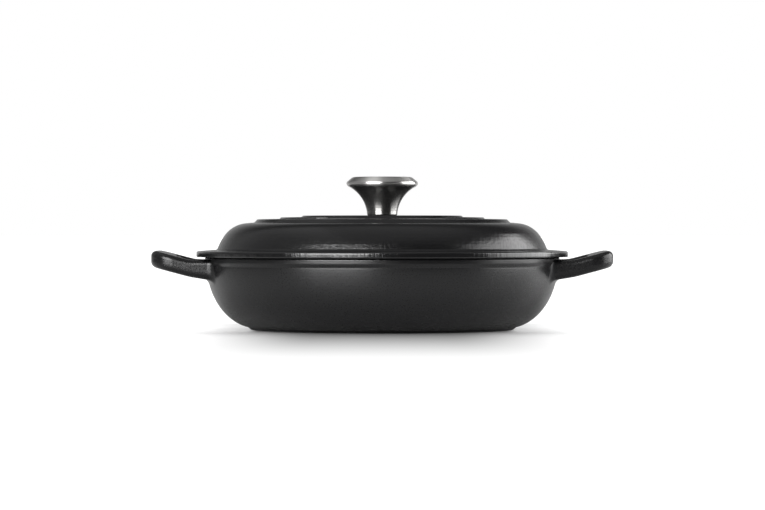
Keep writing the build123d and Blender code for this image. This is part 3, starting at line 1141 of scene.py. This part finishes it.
@dataclass
class Studio:
    """White table, softboxes and the camera of a catalogue photograph."""

    floor_size: float = 60.0
    floor_colour: str = "#f4f4f4"
    # Colour of the painted shadow, and of the painted shade that reflections see.
    shade_colour: str = "#000000"
    floor_lift: float = 0.04  # glow of the whole table, to the camera only
    floor_gloss: float = 0.2
    floor_roughness: float = 0.35
    # Painted shade, seen in reflections only: the table looks this much darker to them.
    floor_tone: float = 0.15  # how dark reflections see the table
    # Painted light: the camera sees the floor glow brighter far out on each side, which clears its own
    # shadow there.
    clear_painted_light: float = 0.25  # more glow, far out on each side
    clear_width: Span = (110 * MM, 190 * MM)
    # Painted light: more glow from beside the foot outwards, which clears the floor's own shadow there.
    side_painted_light: float = 0.48  # more glow, from beside the foot outwards
    side_width: Span = (98 * MM, 110 * MM)
    side_depth: Span = (130 * MM, 20 * MM)
    side_behind: float = 12 * MM
    # Painted shade, seen in reflections only: over this span ahead the table fades to black, though the
    # floor goes on.
    table_end: Span = (300 * MM, 900 * MM)
    # Painted shadow: how dark the camera sees the floor's colour get under and before the pot.
    shade: float = 0.8
    shade_width: Span = (150 * MM, 50 * MM)
    shade_reach: Span = (720 * MM, 50 * MM)
    shade_back: Span = (-250 * MM, 0.0)
    light_colour: str = "#ffffff"
    ambient: float = 1.2
    wall_span: Span = (0.5, 0.9)  # share of +Y in a direction; the next two spans are shares of +Z
    wall_glow: float = 0.56
    wall_height: Span = (0.12, 0.55)
    zenith: Span = (0.68, 1.0)
    dim: float = 0.05
    overhead: float = 0.5
    distance: float = 2.606
    eye_height: float = 0.0823
    aim_height: float = 0.0607
    sideways: float = 0.00025
    lens: float = 150.2
    sensor: float = 36.0
    sight: float = 100.0  # how far the camera sees
    target: Vector = field(default_factory=lambda: Vector((0, 0, 0.06)))
    boxes: tuple[Softbox, ...] = (
        Softbox("left_box", azimuth=-29, elevation=19, width=1.65, height=1.5, radiance=12.5),
        Softbox("right_box", azimuth=100, elevation=18, width=2.5, height=1.6, radiance=4.3),
        Softbox("left_fill", azimuth=-97, elevation=40, width=3.2, height=2.6, radiance=0.25),
    )

    def floor(self) -> None:
        """Lay the floor: a glossy white table that ends in front of the braiser.

        The camera sees it white, with a painted shadow under and before the pot, and painted light on each
        side of the foot, which clears the floor's own shadow there. Reflections see it a little darker, a
        painted shade, and black beyond its front end, which is painted too: the floor itself goes on.
        """
        mesh = bpy.data.meshes.new("floor")
        half = self.floor_size / 2
        corners = [(-half, -half, 0), (half, -half, 0), (half, half, 0), (-half, half, 0)]
        mesh.from_pydata(corners, [], [(0, 1, 2, 3)])
        # Polished white acrylic sheet: white, with painted shadow and painted light near the pot, and a
        # blurred mirror at low angles.
        material, tree = new_material("white_acrylic_table")
        add = partial(add_node, tree)
        place = add("ShaderNodeTexCoord").outputs["Object"]
        split = add("ShaderNodeSeparateXYZ", {"Vector": place}).outputs
        path = add("ShaderNodeLightPath").outputs
        camera, glossy = path["Is Camera Ray"], path["Is Glossy Ray"]
        aside = add(MATH, {0: split["X"]}, operation="ABSOLUTE")
        ahead = add(MATH, {0: split["Y"], 1: -1.0}, operation="MULTIPLY")
        # Painted shadow, seen by the camera only: the floor's colour darkens under and before the pot,
        # fading out sideways, ahead and behind.
        shade = add(MATH, {0: camera, 1: self.shade}, operation="MULTIPLY")
        fades = ((aside, self.shade_width), (ahead, self.shade_reach), (ahead, self.shade_back))
        painted_shadow = faded(tree, shade, *fades)
        # Painted shade for reflections: the table darkens a little, and fades to black beyond its painted
        # end.
        table = faded(tree, 1.0, (ahead, self.table_end))
        far = add(MATH, {0: table, 1: self.floor_tone}, operation="MAXIMUM")
        beyond = add(MATH, {0: glossy, 1: far}, operation="MULTIPLY")
        dark = add(MATH, {0: painted_shadow, 1: beyond}, operation="MAXIMUM")
        colours = {"Factor": dark, "A": linear(self.floor_colour), "B": linear(self.shade_colour)}
        near = add(MATH, {0: glossy, 1: beyond}, operation="SUBTRACT")
        offset = add(MATH, {0: ahead, 1: self.side_behind}, operation="ADD")
        level = add(MATH, {0: offset}, operation="ABSOLUTE")
        # Painted light on each side of the foot, to the camera only, added to the even glow of the whole
        # table.
        clear = faded(tree, self.clear_painted_light, (aside, self.clear_width))
        side = faded(tree, self.side_painted_light, (aside, self.side_width), (level, self.side_depth))
        both = add(MATH, {0: clear, 1: side}, operation="ADD")
        glow_and_painted_light = add(MATH, {0: both, 1: self.floor_lift}, operation="ADD")
        inputs = {
            "Base Color": add("ShaderNodeMix", colours, data_type="RGBA"),
            "Roughness": self.floor_roughness,
            "Specular IOR Level": add(MATH, {0: near, 1: self.floor_gloss}, operation="MULTIPLY"),
            "Emission Color": linear(self.light_colour),
            "Emission Strength": add(MATH, {0: camera, 1: glow_and_painted_light}, operation="MULTIPLY"),
        }
        end_material(tree, inputs)
        mesh.materials.append(material)
        floor = put("floor", mesh)

    def world(self) -> None:
        """Make the room: white to the camera, an even level of light for the braiser.

        Reflections see a white wall low behind the braiser, a soft light overhead and a dim room elsewhere.
        """
        world = bpy.data.worlds.new("studio")
        bpy.context.scene.world = world
        world.use_nodes = True
        tree = world.node_tree
        tree.nodes.clear()
        add = partial(add_node, tree)
        path = add("ShaderNodeLightPath").outputs
        view = add("ShaderNodeTexCoord").outputs["Generated"]
        way = add("ShaderNodeSeparateXYZ", {"Vector": view}).outputs
        wall = add(RANGE, {**over(way["Y"], self.wall_span), "To Min": 0.0, "To Max": self.wall_glow})
        low = add(RANGE, {**over(way["Z"], self.wall_height), "To Min": 1.0, "To Max": 0.0})
        glow = add(MATH, {0: wall, 1: low}, operation="MULTIPLY")
        tones = {"To Min": self.dim, "To Max": self.overhead}
        above = add(RANGE, {**over(way["Z"], self.zenith), **tones}, interpolation_type="SMOOTHSTEP")
        room = add(RANGE, {"Value": glow, "To Min": above, "To Max": 1.0})
        mirrored = {"Factor": path["Is Glossy Ray"], "A": self.ambient, "B": room}
        light = add("ShaderNodeMix", mirrored, data_type="FLOAT")
        looked_at = {"Factor": path["Is Camera Ray"], "A": light, "B": 1.0}
        seen = add("ShaderNodeMix", looked_at, data_type="FLOAT")
        white = {"Color": linear(self.light_colour), "Strength": seen}
        background = add("ShaderNodeBackground", white)
        add("ShaderNodeOutputWorld", {"Surface": background})

    def camera(self) -> None:
        """Set the camera at the photograph's view."""
        data = bpy.data.cameras.new("camera")
        data.lens = self.lens
        data.sensor_width = self.sensor
        data.clip_end = self.sight
        camera = put("camera", data)
        camera.location = (self.sideways, -self.distance, self.eye_height)
        look = Vector((self.sideways, 0, self.aim_height)) - camera.location
        camera.rotation_euler = look.to_track_quat("-Z", "Y").to_euler()
        bpy.context.scene.camera = camera

    def build(self) -> None:
        """Build the studio round the braiser."""
        self.floor()
        self.world()
        self.camera()
        for box in self.boxes:
            box.build(self.target)
        bpy.context.scene.view_settings.view_transform = "Standard"


def main() -> None:
    """Build the braiser and its studio, in order."""
    logging.basicConfig(level=logging.INFO, format="%(name)s: %(message)s")
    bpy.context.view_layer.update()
    lathe = LatheTree()
    # Thick glaze on the belly: deep, even and soft, with hardly any grain. Its colours are lighter than
    # those of the rest of the enamel: painted light, which brightens the belly.
    satin = SatinEnamel(colour="#161617", fleck="#1c1c1d", index=1.36).build()
    # Thin glaze on the rim band: the mould's grain breaks the highlight up.
    grained = SatinEnamel(
        name="grained_black_enamel", index=1.36, roughness=0.31, grain_height=0.1 * MM, grain=1.6 * MM
    ).build()
    # Thin glaze on the cast handles: a dull sheen, lightly speckled.
    cast = SatinEnamel(
        name="cast_grip_enamel", index=1.34, roughness=0.28, grain_height=0.08 * MM, grain=1.6 * MM
    ).build()
    # Pebbled glaze on the dome: bright specks low down, which smooth out towards the top.
    pebbled = SatinEnamel(
        name="pebbled_black_enamel",
        roughness=0.23,
        grain=1.8 * MM,
        grain_height=0.25 * MM,
        upright=0.6,
        smooth_from=(70 * MM, 84 * MM),
    ).build()
    # Ground edges under a glossy glaze: a bright line, cut into short bars.
    edge = SatinEnamel(
        name="ground_edge_enamel",
        index=1.5,
        roughness=0.15,
        grain_height=0.006 * MM,
        streak=2 * MM,
        streak_height=0.3 * MM,
    ).build()
    # Polished after turning: clear bright streaks down the neck, with soft edges.
    polished = TurnedSteel(
        name="polished_stainless_steel", roughness=0.21, anisotropy=0.7, line_height=0.0004 * MM
    ).build()
    # Left as turned: a satin cap with wide, drawn-out patches of light.
    brushed = TurnedSteel(roughness=0.32, anisotropy=0.85).build()
    # Bright fasteners: an even sheen, with highlights that aren't drawn out.
    bright = TurnedSteel(name="bright_stainless_steel", roughness=0.25, anisotropy=0.0).build()
    pot = Pot()
    pot.build(lathe, satin, grained, cast, edge)
    lid = Lid(pot.rim_radius, pot.rim_height, pot.mouth_radius)
    lid.build(lathe, pebbled, edge)
    Knob(lid.places["crown"], lid.hole_radius).build(lathe, polished, brushed, bright)
    Studio().build()


if __name__ == "__main__":
    main()
